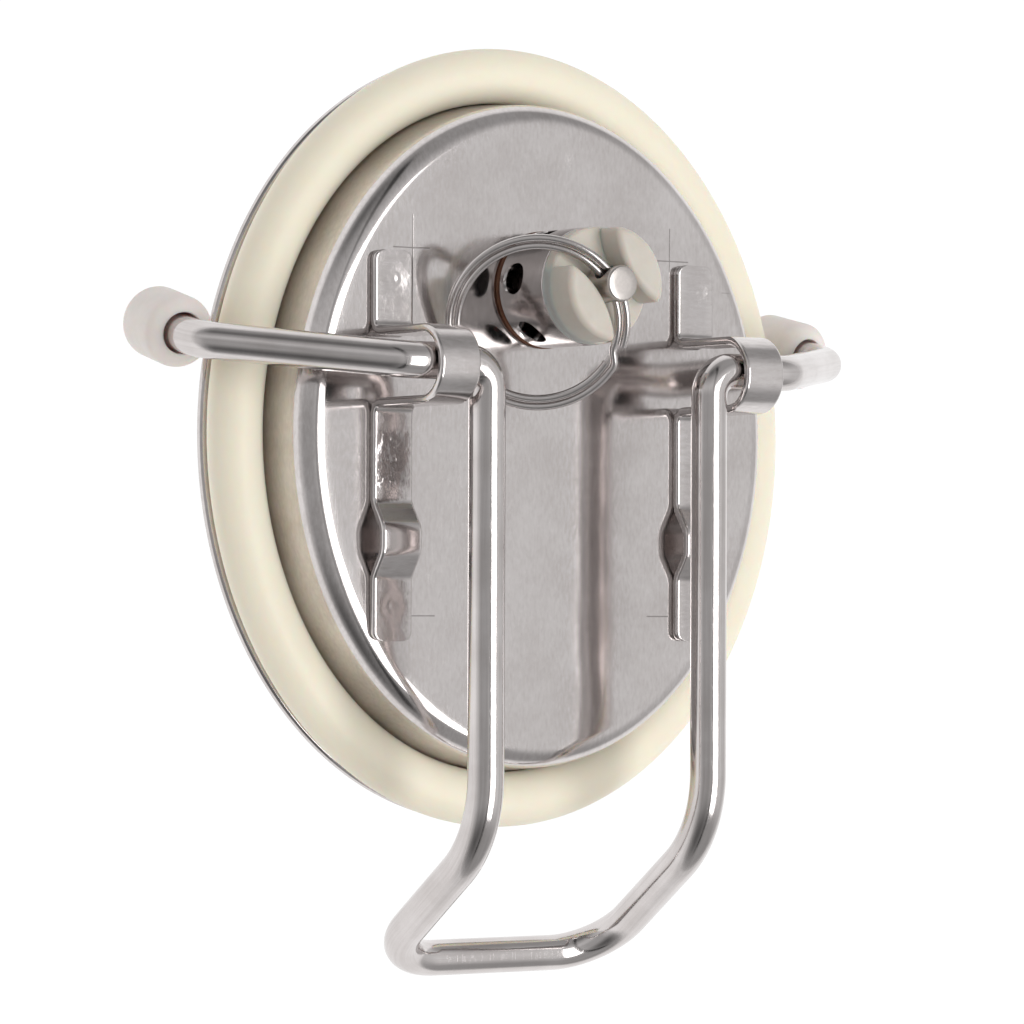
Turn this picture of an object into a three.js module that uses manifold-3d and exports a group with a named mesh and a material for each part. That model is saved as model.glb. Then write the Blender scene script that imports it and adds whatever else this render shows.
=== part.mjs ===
// Oval hatch lid for a stainless drinks keg: a pressed lid with its seal ring, two strap
// brackets, a bent-wire bail lever with rubber feet, and a pull-ring relief valve.
// Millimetres. +Z points out of the keg, +Y runs along the long axis towards the valve,
// and the origin is the middle of the lid's flat outer face.
import * as THREE from 'three';
import { mergeVertices } from 'three/addons/utils/BufferGeometryUtils.js';
import Module from 'manifold-3d';

const wasm = await Module();
wasm.setup();

// ---------------------------------------------------------------- driving dimensions

const CONTACT_GAP = 0.3;        // between pieces that touch on curved or turned faces
const SEAT_GAP = 0.1;           // between flat faces that bear on each other

const SHEET = 1.3;              // lid sheet thickness
const SEAL_HALF_WIDTH = 42.0;   // seal ring centreline, along X
const SEAL_HALF_LENGTH = 48.5;  // seal ring centreline, along Y
const SEAL_RADIUS = 3.4;        // seal ring section
const CROWN_HEIGHT = 13.1;      // flat face above the top of the flange
const CROWN_EDGE_RADIUS = 3.2;  // rounded edge of the crown
const FLANGE_ROOT_RADIUS = 1.6; // wall into flange
const FLANGE_INSET = 0.6;       // flange edge inside the seal ring's outer edge
const WALL_DRAFT = 0.9;         // the crown wall leans in by this much over its height

const RING_RADIUS = 11.0;       // pull ring, middle of its two turns
const RING_WIRE = 0.5;
const RING_TURN_GAP = 0.1;      // between the inner turn and the outer one
const RING_PITCH = 2 * RING_WIRE + RING_TURN_GAP;
const RING_EDGE = RING_PITCH / 2 + RING_WIRE;

const WIRE_RADIUS = 2.38;       // bail wire, 3/16 inch
const PIVOT_Y = 8.6;
const PIVOT_Z = 12.8;
const LEG_ROOM = 5.7;           // the legs pass this far outside the pull ring's radius
const LEG_BEND = 3.4;
const KNEE_OVERHANG = 0.2;      // the legs turn down this far beyond the seal ring
const KNEE_BEND = 15.0;
const GRIP_ANGLE = 55.0;        // degrees below the legs
const GRIP_LENGTH = 29.6;
const GRIP_CORNER = 8.3;
const ARM_BEND = 6.0;
const LEG_X = RING_RADIUS + RING_EDGE + LEG_ROOM;
const KNEE_Y = -SEAL_HALF_LENGTH - SEAL_RADIUS - KNEE_OVERHANG;

const STRAP_WIDTH = 6.1;        // both brackets
const STRAP_SHEET = 1.1;
const STRAP_GAP = 3.5;          // strap edge from the middle of the leg beside it
const ARM_GAP = 2.85;           // the pivot length runs this far past the strap
const STRAP_NEAR_END = 25.1;    // ends of the strap, from the seal ring's centreline
const STRAP_FAR_END = 21.4;
const LOOP_TOP_ROOM = 0.42;     // over the wire, inside the loop
const LOOP_SIDE_ROOM = 1.62;    // each side of the wire, inside the loop
const LOOP_SHIFT = 0.35;        // the wire rests this far off the loop's middle
const LOOP_ROUNDNESS = 0.98;    // top corners, as a share of half the loop's width
const STRAP_FILLET = 1.6;       // centreline radius where the strap turns up
const ARCH_FROM_END = 13.1;     // small stiffening arch, from the strap's far end
const ARCH_SPAN = 9.6;
const ARCH_CREST = 3.0;
const ARCH_RISE = 2.3;
const ARCH_FILLET = 2.4;
const STRAP_X = LEG_X + STRAP_GAP + STRAP_WIDTH / 2;
const ARM_RUN = STRAP_X + STRAP_WIDTH / 2 + ARM_GAP;
const LOOP_HEIGHT = PIVOT_Z + WIRE_RADIUS + LOOP_TOP_ROOM + STRAP_SHEET;
const LOOP_SPAN = 2 * (WIRE_RADIUS + LOOP_SIDE_ROOM + STRAP_SHEET);
const STRAP_NEAR_Y = SEAL_HALF_LENGTH - STRAP_NEAR_END;
const STRAP_FAR_Y = STRAP_FAR_END - SEAL_HALF_LENGTH;
const ARCH_Y = STRAP_FAR_Y + ARCH_FROM_END;

const FOOT_WALL = 2.0;          // rubber round the wire
const FOOT_MOUTH_LAND = 0.2;    // flat left round the bore's edge
const FOOT_SOLE_ROUND = 2.0;
const FOOT_OUTREACH = 0.42;     // a foot's side beyond the widest point of the seal ring
const FOOT_Y = 12.1;            // mouth of each foot
const FOOT_Z = -8.0;
const FOOT_LEAN_IN = 6.0;       // degrees towards the long axis
const FOOT_LEAN_FORWARD = 13.0; // degrees towards the valve end
const FOOT_LENGTH = 10.0;
const FOOT_BORE_DEPTH = 7.6;
const ANKLE_BEND = 5.0;
const ANKLE_RISE = 4.2;         // from the mouth up to the bend's corner
const FOOT_BORE = WIRE_RADIUS + CONTACT_GAP;
const FOOT_RADIUS = FOOT_BORE + FOOT_WALL;
const FOOT_X = SEAL_HALF_WIDTH + SEAL_RADIUS + FOOT_RADIUS + FOOT_OUTREACH;

// The valve's pieces nest round the stem, so each radius grows from the one inside it.
const VALVE_Y = 19.2;
const STEM_RADIUS = 1.5;
const STEM_ROOM = 0.35;         // round the stem, where it passes through the cap
const RETAINER_STEP = 0.85;     // retainer beyond the stem
const SEAT_ROOM = 0.4;          // round the retainer, in the valve seat
const SEAT_LEDGE = 1.85;        // width of the seat the poppet closes on
const NECK_WALL = 0.85;
const THREAD_DEPTH = 0.55;
const THREAD_PITCH = 1.25;
const BODY_SHOULDER = 1.7;      // body beyond its threaded neck
const BODY_WALL = 1.3;
const STEM_BORE = STEM_RADIUS + STEM_ROOM;
const RETAINER_RADIUS = STEM_RADIUS + RETAINER_STEP;
const SEAT_BORE = RETAINER_RADIUS + SEAT_ROOM;
const NECK_BORE = SEAT_BORE + SEAT_LEDGE;
const NECK_RADIUS = NECK_BORE + NECK_WALL + THREAD_DEPTH;
const BODY_RADIUS = NECK_RADIUS + BODY_SHOULDER;
const CHAMBER_BORE = BODY_RADIUS - BODY_WALL;

const GASKET_OVERHANG = 0.05;   // gasket edge beyond the body
const GASKET_THICKNESS = 0.6;
const CHAMBER_FLOOR_SHEET = 1.0;
const BODY_HEIGHT = 10.0;       // above the gasket
const BUNG_WALL = 2.5;
const BUNG_HEIGHT = 5.8;
const NECK_BELOW_BUNG = 1.6;
const SEAT_THICKNESS = 1.4;
const VENT_COUNT = 6;
const VENT_RADIUS = 2.05;
const VENT_SILL = 0.25;         // vents above the chamber floor
const VENT_FIRST = 172;         // degrees round the valve from +X
const GASKET_RADIUS = BODY_RADIUS + GASKET_OVERHANG;
const CHAMBER_FLOOR = GASKET_THICKNESS + CHAMBER_FLOOR_SHEET;
const BODY_TOP = GASKET_THICKNESS + BODY_HEIGHT;
const BUNG_BORE = NECK_RADIUS + CONTACT_GAP;
const BUNG_RADIUS = BUNG_BORE + BUNG_WALL;
const BUNG_BOTTOM = -SHEET - SEAT_GAP - BUNG_HEIGHT;
const NECK_BOTTOM = BUNG_BOTTOM - NECK_BELOW_BUNG;
const VENT_Z = CHAMBER_FLOOR + VENT_SILL + VENT_RADIUS;

const RING_JOG = 12;            // degrees over which the wire steps outwards
const RING_END = 60;            // degrees round the ring from the stem to its inner end
const RING_REST = 0.86;         // lowest wire centre above the crown, at rest
const RING_HOLE_ROOM = 0.45;    // round the two turns, in the stem's hole
const RING_HOLE_RADIUS = RING_EDGE + RING_HOLE_ROOM;

const HEAD_STEP = 0.85;         // head beyond the stem
const HEAD_GAP = 0.4;           // under the head, over the slot's floor
const HEAD_SILL = 1.15;         // head below the ring's hole
const HEAD_LINTEL = 0.85;       // head above the ring's hole
const HEAD_CHAMFER = 0.35;
const STEM_BELOW_NECK = 1.2;
const CAP_SHEET = 1.8;          // cap under the slot
const SLOT_DEPTH = 4.2;
const SLOT_ROOM = 0.4;          // each side of the head, at the slot's narrowest
const SLOT_ANGLE = -54.5;       // degrees from +X
const LOBE_CURVE = 12.3;        // plan radius of the slot's bowed walls
const CAP_TAPER = 0.2;
const CAP_EDGE = 0.9;
const CAP_SKIRT_DEPTH = 2.2;
const HEAD_RADIUS = STEM_RADIUS + HEAD_STEP;
const CAP_FLOOR = BODY_TOP + SEAT_GAP + CAP_SHEET;
const CAP_TOP = CAP_FLOOR + SLOT_DEPTH;
const HEAD_BOTTOM = CAP_FLOOR + HEAD_GAP;
const RING_HOLE_Z = HEAD_BOTTOM + HEAD_SILL + RING_HOLE_RADIUS;
const HEAD_TOP = RING_HOLE_Z + RING_HOLE_RADIUS + HEAD_LINTEL;
const STEM_BOTTOM = NECK_BOTTOM - STEM_BELOW_NECK;

const POPPET_ROOM = 0.6;        // round the poppet, in the neck
const POPPET_THICKNESS = 1.4;
const POPPET_SEAL_THICKNESS = 1.2;
const RETAINER_THICKNESS = 0.9;
const SPRING_INSET = 0.35;      // spring inside the poppet's edge
const SPRING_WIRE = 0.45;
const SPRING_TURNS = 6;
const WASHER_OVERLAP = 0.65;    // washer beyond the spring
const WASHER_THICKNESS = 0.6;
const POPPET_RADIUS = NECK_BORE - POPPET_ROOM;
const SPRING_RADIUS = POPPET_RADIUS - SPRING_INSET - SPRING_WIRE;
const WASHER_RADIUS = SPRING_RADIUS + SPRING_WIRE + WASHER_OVERLAP;

// ---------------------------------------------------------------- small helpers

const radians = THREE.MathUtils.degToRad;
const point = (x, y, z = 0) => new THREE.Vector3(x, y, z);
const CLOSE = 1e-4;
const OVAL_STEPS = 64;          // facets round the lid
const SEAL_FACETS = 14;         // facets round the seal ring's section
const RING_STEPS = 48;          // facets round the pull ring

// Stations along straight runs joined by round bends, one radius for each inner corner.
function bentStations(corners, radii, step = 15) {
  const stations = [corners[0]];
  for (let i = 1; i < corners.length - 1; i++) {
    const back = corners[i - 1].clone().sub(corners[i]).normalize();
    const ahead = corners[i + 1].clone().sub(corners[i]).normalize();
    const half = back.angleTo(ahead) / 2;
    const radius = radii[i - 1];
    const middle = back.clone().add(ahead).normalize();
    const centre = corners[i].clone().addScaledVector(middle, radius / Math.sin(half));
    const start = corners[i].clone().addScaledVector(back, radius / Math.tan(half)).sub(centre);
    const axis = back.clone().cross(ahead).normalize().negate();
    const sweep = Math.PI - 2 * half;
    const count = Math.ceil(THREE.MathUtils.radToDeg(sweep) / step);
    for (let k = 0; k <= count; k++) {
      const arm = start.clone().applyAxisAngle(axis, (sweep * k) / count);
      stations.push(centre.clone().add(arm));
    }
  }
  stations.push(corners[corners.length - 1]);
  return stations;
}

// A curve that steps from station to station, so an extrusion spends its steps on bends.
class StationPath extends THREE.Curve {
  constructor(stations) {
    super();
    this.stations = stations;
  }

  get steps() {
    return this.stations.length - 1;
  }

  getUtoTmapping(u) {
    return u;
  }

  getPoint(t, target = point(0, 0)) {
    const index = Math.min(Math.floor(t * this.steps), this.steps - 1);
    return target.lerpVectors(this.stations[index], this.stations[index + 1], t * this.steps - index);
  }

  getTangent(t, target = point(0, 0)) {
    const index = Math.round(t * this.steps);
    const before = this.stations[Math.max(index - 1, 0)];
    const after = this.stations[Math.min(index + 1, this.steps)];
    return target.subVectors(after, before).normalize();
  }
}

function roundShape(radius, sides) {
  const outline = [];
  for (let i = 0; i < sides; i++) {
    const turn = (2 * Math.PI * i) / sides;
    outline.push(new THREE.Vector2(radius * Math.cos(turn), radius * Math.sin(turn)));
  }
  return new THREE.Shape(outline);
}

function wire(stations, radius, sides) {
  const path = new StationPath(stations);
  const options = { steps: path.steps, bevelEnabled: false, extrudePath: path };
  return new THREE.ExtrudeGeometry(roundShape(radius, sides), options);
}

// Turned part about Z from [radius, z] pairs, listed once round the section.
function turned(profile, segments = 40) {
  const outline = profile.map(([radius, z]) => new THREE.Vector2(radius, z));
  const open = outline[0].x > CLOSE || outline[outline.length - 1].x > CLOSE;
  if (open) {
    outline.push(outline[0].clone());
  }
  return new THREE.LatheGeometry(outline, segments).rotateX(Math.PI / 2);
}

function washer(inner, outer, bottom, top, segments = 32) {
  return turned([[inner, bottom], [outer, bottom], [outer, top], [inner, top]], segments);
}

// Points of a round corner in a turned section, from one angle to another in degrees.
function corner(radius, z, size, from, to, count = 4) {
  const points = [];
  for (let i = 0; i <= count; i++) {
    const angle = radians(from + ((to - from) * i) / count);
    points.push([radius + size * Math.cos(angle), z + size * Math.sin(angle)]);
  }
  return points;
}

function toManifold(geometry) {
  const bare = geometry.clone();
  bare.deleteAttribute('normal');
  bare.deleteAttribute('uv');
  const merged = mergeVertices(bare, CLOSE);
  const solid = new wasm.Manifold(new wasm.Mesh({
    numProp: 3,
    vertProperties: new Float32Array(merged.attributes.position.array),
    triVerts: new Uint32Array(merged.index.array),
  }));
  return solid;
}

function toGeometry(solid) {
  const mesh = solid.getMesh();
  const geometry = new THREE.BufferGeometry();
  geometry.setAttribute('position', new THREE.BufferAttribute(mesh.vertProperties, 3));
  geometry.setIndex(new THREE.BufferAttribute(mesh.triVerts, 1));
  geometry.computeVertexNormals();
  return geometry;
}

function cut(geometry, tools) {
  return toGeometry(tools.reduce((solid, tool) => solid.subtract(toManifold(tool)), toManifold(geometry)));
}

function cylinder(radius, length, segments = 32) {
  return new THREE.CylinderGeometry(radius, radius, length, segments).rotateX(Math.PI / 2);
}

const finishes = {
  steel: { color: 0xb9b5b3, roughness: 0.22, metalness: 1.0 },
  springSteel: { color: 0xa8a5a2, roughness: 0.35, metalness: 1.0 },
  sealRubber: { color: 0xe6e0cd, roughness: 0.55, metalness: 0.0 },
  footRubber: { color: 0xc4bcb2, roughness: 0.7, metalness: 0.0 },
  capPlastic: { color: 0xc1b9ac, roughness: 0.5, metalness: 0.0 },
  gasketRubber: { color: 0x9a5f3c, roughness: 0.5, metalness: 0.0 },
  darkRubber: { color: 0x2a2a2a, roughness: 0.7, metalness: 0.0 },
};

const lid = new THREE.Group();

function add(name, geometry, finish, holder = lid) {
  const mesh = new THREE.Mesh(geometry, new THREE.MeshStandardMaterial(finishes[finish]));
  mesh.name = name;
  holder.add(mesh);
  return mesh;
}

// ---------------------------------------------------------------- lid shell and seal ring

const WALL_OFFSET = -SEAL_RADIUS - CONTACT_GAP;      // from the seal ring's centreline
const FLANGE_TOP = -CROWN_HEIGHT;
const FLANGE_OFFSET = SEAL_RADIUS - FLANGE_INSET;
const ROUND_CORE = 15;                               // inside this offset the oval just scales

// Bends a turned part of centreline radius SEAL_HALF_LENGTH round the lid's oval instead.
function ovalise(geometry) {
  const position = geometry.attributes.position;
  for (let i = 0; i < position.count; i++) {
    const x = position.getX(i);
    const y = position.getY(i);
    const radius = Math.hypot(x, y);
    const turn = Math.atan2(y, x);
    const along = point(SEAL_HALF_WIDTH * Math.cos(turn), SEAL_HALF_LENGTH * Math.sin(turn));
    const outward = point(Math.cos(turn) / SEAL_HALF_WIDTH, Math.sin(turn) / SEAL_HALF_LENGTH).normalize();
    const inner = SEAL_HALF_LENGTH - ROUND_CORE;
    const offset = Math.max(radius, inner) - SEAL_HALF_LENGTH;
    const scale = Math.min(radius / inner, 1);
    along.addScaledVector(outward, offset).multiplyScalar(scale);
    position.setXY(i, along.x, along.y);
  }
  geometry.computeVertexNormals();
  return geometry;
}

function makeLidShell() {
  const wallFoot = SEAL_HALF_LENGTH + WALL_OFFSET;
  const wallHead = wallFoot - WALL_DRAFT;
  const rim = SEAL_HALF_LENGTH + FLANGE_OFFSET;
  const underside = FLANGE_TOP - SHEET;
  const root = FLANGE_ROOT_RADIUS;
  const shell = turned([
    [0, -SHEET],
    ...corner(wallHead - CROWN_EDGE_RADIUS, -CROWN_EDGE_RADIUS, CROWN_EDGE_RADIUS - SHEET, 90, 0),
    ...corner(wallFoot - SHEET + root, underside + root, root, 180, 270),
    ...corner(rim - SHEET / 2, FLANGE_TOP - SHEET / 2, SHEET / 2, -90, 90),
    [wallFoot, FLANGE_TOP],
    ...corner(wallHead - CROWN_EDGE_RADIUS, -CROWN_EDGE_RADIUS, CROWN_EDGE_RADIUS, 0, 90, 6),
    [0, 0],
  ], OVAL_STEPS);
  const hole = cylinder(NECK_RADIUS + CONTACT_GAP, 4 * SHEET).translate(0, VALVE_Y, 0);
  return cut(ovalise(shell), [hole]);
}

function makeSealRing() {
  const centre = FLANGE_TOP + SEAL_RADIUS + SEAT_GAP;
  const lastFacet = 360 - 360 / SEAL_FACETS;
  const section = corner(SEAL_HALF_LENGTH, centre, SEAL_RADIUS, 0, lastFacet, SEAL_FACETS - 1);
  return ovalise(turned(section, OVAL_STEPS));
}

add('lid_shell', makeLidShell(), 'steel');
add('lid_seal_ring', makeSealRing(), 'sealRubber');

// ---------------------------------------------------------------- strap brackets

function strapOutline() {
  const mid = STRAP_SHEET / 2;
  const loopHalf = (LOOP_SPAN - STRAP_SHEET) / 2;
  const loopTop = LOOP_HEIGHT - mid;
  const loopNear = PIVOT_Y - LOOP_SHIFT + loopHalf;
  const loopFar = PIVOT_Y - LOOP_SHIFT - loopHalf;
  const crown = loopHalf * LOOP_ROUNDNESS;
  const crest = ARCH_RISE + mid;
  const corners = [
    point(STRAP_NEAR_Y, mid),
    point(loopNear, mid),
    point(loopNear, loopTop),
    point(loopFar, loopTop),
    point(loopFar, mid),
    point(ARCH_Y + ARCH_SPAN / 2, mid),
    point(ARCH_Y + ARCH_CREST / 2, crest),
    point(ARCH_Y - ARCH_CREST / 2, crest),
    point(ARCH_Y - ARCH_SPAN / 2, mid),
    point(STRAP_FAR_Y, mid),
  ];
  const archRadii = Array(4).fill(ARCH_FILLET);
  const radii = [STRAP_FILLET, crown, crown, STRAP_FILLET, ...archRadii];
  const middle = new StationPath(bentStations(corners, radii));
  const left = [];
  const right = [];
  for (let i = 0; i <= middle.steps; i++) {
    const along = middle.getTangent(i / middle.steps);
    const across = point(-along.y, along.x).multiplyScalar(mid);
    left.push(middle.stations[i].clone().add(across));
    right.push(middle.stations[i].clone().sub(across));
  }
  return new THREE.Shape([...left, ...right.reverse()].map((p) => new THREE.Vector2(p.x, p.y)));
}

// The outline lies in (Y, Z) and is extruded along X.
function makeBracket(side) {
  const strap = new THREE.ExtrudeGeometry(strapOutline(), { depth: STRAP_WIDTH, bevelEnabled: false });
  const turn = new THREE.Matrix4().makeBasis(point(0, 1, 0), point(0, 0, 1), point(1, 0, 0));
  return strap.applyMatrix4(turn).translate(side * STRAP_X - STRAP_WIDTH / 2, 0, 0);
}

add('left_bracket', makeBracket(-1), 'steel');
add('right_bracket', makeBracket(1), 'steel');

// ---------------------------------------------------------------- bail lever and feet

// Direction from a foot's mouth to its sole.
function footAxis(side) {
  const inward = -side * Math.sin(radians(FOOT_LEAN_IN));
  const forward = Math.sin(radians(FOOT_LEAN_FORWARD));
  return point(inward, forward, -Math.sqrt(1 - inward ** 2 - forward ** 2));
}

function bailHalf(side) {
  const mouth = point(side * FOOT_X, FOOT_Y, FOOT_Z);
  const axis = footAxis(side);
  const gripY = KNEE_Y - GRIP_LENGTH * Math.cos(radians(GRIP_ANGLE));
  const gripZ = PIVOT_Z - GRIP_LENGTH * Math.sin(radians(GRIP_ANGLE));
  return [
    mouth.clone().addScaledVector(axis, FOOT_BORE_DEPTH - CONTACT_GAP),
    mouth.clone().addScaledVector(axis, -ANKLE_RISE),
    point(side * ARM_RUN, PIVOT_Y, PIVOT_Z),
    point(side * LEG_X, PIVOT_Y, PIVOT_Z),
    point(side * LEG_X, KNEE_Y, PIVOT_Z),
    point(side * LEG_X, gripY, gripZ),
  ];
}

function makeBail() {
  const corners = [...bailHalf(-1), ...bailHalf(1).reverse()];
  const bends = [ANKLE_BEND, ARM_BEND, LEG_BEND, KNEE_BEND, GRIP_CORNER];
  return wire(bentStations(corners, [...bends, ...bends.slice().reverse()], 12), WIRE_RADIUS, 14);
}

function makeFoot(side) {
  const shoulder = FOOT_WALL - FOOT_MOUTH_LAND;
  const round = FOOT_SOLE_ROUND;
  const foot = turned([
    [0, FOOT_BORE_DEPTH],
    [FOOT_BORE, FOOT_BORE_DEPTH],
    [FOOT_BORE, 0],
    ...corner(FOOT_RADIUS - shoulder, shoulder, shoulder, 270, 360, 4),
    ...corner(FOOT_RADIUS - round, FOOT_LENGTH - round, round, 0, 90, 4),
    [0, FOOT_LENGTH],
  ], 28);
  const upright = new THREE.Quaternion().setFromUnitVectors(point(0, 0, 1), footAxis(side));
  return foot.applyQuaternion(upright).translate(side * FOOT_X, FOOT_Y, FOOT_Z);
}

add('bail_lever', makeBail(), 'steel');
add('left_foot', makeFoot(-1), 'footRubber');
add('right_foot', makeFoot(1), 'footRubber');

// ---------------------------------------------------------------- relief valve, fixed pieces

const valve = new THREE.Group();
valve.position.set(0, VALVE_Y, 0);
lid.add(valve);

function threadedNeck(top, bottom) {
  const count = Math.floor((top - bottom) / THREAD_PITCH);
  const points = [];
  for (let i = 0; i < count; i++) {
    const z = bottom + i * THREAD_PITCH;
    points.push([NECK_RADIUS - THREAD_DEPTH, z]);
    points.push([NECK_RADIUS, z + THREAD_PITCH / 2]);
  }
  return points;
}

function makeValveBody() {
  const chamfer = 0.35;
  const body = turned([
    [SEAT_BORE, NECK_BOTTOM],
    ...threadedNeck(-SHEET, NECK_BOTTOM),
    [NECK_RADIUS - THREAD_DEPTH, -SHEET],
    [NECK_RADIUS - THREAD_DEPTH, GASKET_THICKNESS],
    [BODY_RADIUS - chamfer, GASKET_THICKNESS],
    [BODY_RADIUS, GASKET_THICKNESS + chamfer],
    [BODY_RADIUS, BODY_TOP],
    [CHAMBER_BORE, BODY_TOP],
    [CHAMBER_BORE, CHAMBER_FLOOR],
    [NECK_BORE, CHAMBER_FLOOR],
    [NECK_BORE, NECK_BOTTOM + SEAT_THICKNESS],
    [SEAT_BORE, NECK_BOTTOM + SEAT_THICKNESS],
  ], 40);
  const vents = [];
  for (let i = 0; i < VENT_COUNT; i++) {
    const drill = cylinder(VENT_RADIUS, 2 * BODY_RADIUS, 20).rotateY(Math.PI / 2);
    drill.translate(BODY_RADIUS, 0, VENT_Z);
    vents.push(drill.rotateZ(radians(VENT_FIRST + (360 / VENT_COUNT) * i)));
  }
  return cut(body, vents);
}

function makeCap() {
  const bottom = BODY_TOP + SEAT_GAP;
  const skirtOuter = CHAMBER_BORE - CONTACT_GAP;
  const skirtInner = WASHER_RADIUS + CONTACT_GAP;
  const cap = turned([
    [STEM_BORE, bottom],
    [skirtInner, bottom],
    [skirtInner, bottom - CAP_SKIRT_DEPTH],
    [skirtOuter, bottom - CAP_SKIRT_DEPTH],
    [skirtOuter, bottom],
    [BODY_RADIUS, bottom],
    ...corner(BODY_RADIUS - CAP_TAPER - CAP_EDGE, CAP_TOP - CAP_EDGE, CAP_EDGE, 0, 90, 4),
    [STEM_BORE, CAP_TOP],
  ], 48);
  return cut(cap, [makeSlot()]);
}

// The slot's two walls bow towards the stem, so the lobes left beside it are lens-shaped.
function makeSlot() {
  const height = 2 * (CAP_TOP - CAP_FLOOR);
  const halfWidth = HEAD_RADIUS + SLOT_ROOM;
  const lobes = [-1, 1].map((side) => {
    const lobe = cylinder(LOBE_CURVE, 2 * height, 96);
    return lobe.translate(0, side * (halfWidth + LOBE_CURVE), 0);
  });
  const block = new THREE.BoxGeometry(4 * BODY_RADIUS, 2 * (halfWidth + LOBE_CURVE), height);
  return cut(block, lobes).rotateZ(radians(SLOT_ANGLE)).translate(0, 0, CAP_FLOOR + height / 2);
}

const bungTop = -SHEET - SEAT_GAP;
const gasketTop = GASKET_THICKNESS - SEAT_GAP;
add('valve_bung', washer(BUNG_BORE, BUNG_RADIUS, BUNG_BOTTOM, bungTop, 40), 'steel', valve);
add('valve_gasket', washer(BUNG_BORE, GASKET_RADIUS, 0, gasketTop, 48), 'gasketRubber', valve);
add('valve_body', makeValveBody(), 'steel', valve);
add('valve_cap', makeCap(), 'capPlastic', valve);

// ---------------------------------------------------------------- relief valve, moving pieces

const SEAT_TOP = NECK_BOTTOM + SEAT_THICKNESS;
const POPPET_BOTTOM = SEAT_TOP + POPPET_SEAL_THICKNESS + 2 * SEAT_GAP;
const POPPET_TOP = POPPET_BOTTOM + POPPET_THICKNESS;
const WASHER_TOP = BODY_TOP;
const SPRING_BOTTOM = POPPET_TOP + SEAT_GAP;
const SPRING_TOP = WASHER_TOP - WASHER_THICKNESS - SEAT_GAP;

function makeStem() {
  const stem = turned([
    [0, STEM_BOTTOM],
    [STEM_RADIUS, STEM_BOTTOM],
    [STEM_RADIUS, HEAD_BOTTOM],
    [HEAD_RADIUS, HEAD_BOTTOM],
    [HEAD_RADIUS, HEAD_TOP - HEAD_CHAMFER],
    [HEAD_RADIUS - HEAD_CHAMFER, HEAD_TOP],
    [0, HEAD_TOP],
  ], 32);
  const drill = cylinder(RING_HOLE_RADIUS, 4 * HEAD_RADIUS, 24).rotateY(Math.PI / 2);
  drill.rotateZ(radians(SLOT_ANGLE)).translate(0, 0, RING_HOLE_Z);
  return cut(stem, [drill]);
}

function makeSpring() {
  const stations = [];
  const perTurn = 14;
  const low = SPRING_BOTTOM + SPRING_WIRE;
  const rise = SPRING_TOP - SPRING_WIRE - low;
  for (let i = 0; i <= SPRING_TURNS * perTurn; i++) {
    const turn = (2 * Math.PI * i) / perTurn;
    const height = low + (rise * i) / (SPRING_TURNS * perTurn);
    stations.push(point(SPRING_RADIUS * Math.cos(turn), SPRING_RADIUS * Math.sin(turn), height));
  }
  return wire(stations, SPRING_WIRE, 6);
}

// Two flat turns of wire, the second round the outside of the first. The ring hangs from
// its own +X side, where the stem holds it.
function makePullRing() {
  const stations = [];
  const step = 360 / RING_STEPS;
  const clearOfJog = 720 - RING_JOG - 2 * step;
  for (let swept = 0; swept <= clearOfJog; swept += step) {
    const jog = THREE.MathUtils.smoothstep(swept, 360 - RING_JOG, 360);
    const radius = RING_RADIUS + RING_PITCH * (jog - 0.5);
    const turn = radians(RING_END + swept);
    stations.push(point(radius * Math.cos(turn) - RING_RADIUS, radius * Math.sin(turn)));
  }
  return wire(stations, RING_WIRE, 8);
}

function placePullRing(ring) {
  const across = radians(SLOT_ANGLE);
  const slotAxis = point(Math.cos(across), Math.sin(across), 0);
  const outward = point(Math.sin(across), -Math.cos(across), 0);
  const droop = Math.asin((RING_HOLE_Z - RING_REST) / (2 * RING_RADIUS + RING_EDGE));
  const towardsStem = outward.clone().multiplyScalar(-Math.cos(droop)).add(point(0, 0, Math.sin(droop)));
  const normal = towardsStem.clone().cross(slotAxis);
  ring.applyMatrix4(new THREE.Matrix4().makeBasis(towardsStem, slotAxis, normal));
  return ring.translate(0, 0, RING_HOLE_Z);
}

const sealBottom = SEAT_TOP + SEAT_GAP;
const sealTop = POPPET_BOTTOM - SEAT_GAP;
const retainerBottom = SEAT_TOP - RETAINER_THICKNESS;
const washerBottom = WASHER_TOP - WASHER_THICKNESS;
const onStem = STEM_RADIUS + SEAT_GAP;
add('valve_stem', makeStem(), 'steel', valve);
add('pull_ring', placePullRing(makePullRing()), 'springSteel', valve);
add('poppet_disc', washer(onStem, POPPET_RADIUS, POPPET_BOTTOM, POPPET_TOP), 'steel', valve);
add('poppet_seal', washer(onStem, POPPET_RADIUS, sealBottom, sealTop), 'darkRubber', valve);
add('stem_retainer', washer(onStem, RETAINER_RADIUS, retainerBottom, SEAT_TOP), 'steel', valve);
add('valve_spring', makeSpring(), 'springSteel', valve);
add('spring_washer', washer(STEM_BORE, WASHER_RADIUS, washerBottom, WASHER_TOP), 'steel', valve);

export default lid;
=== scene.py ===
import math

import bmesh
import bpy
import numpy as np
from mathutils import Matrix, Quaternion, Vector


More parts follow.
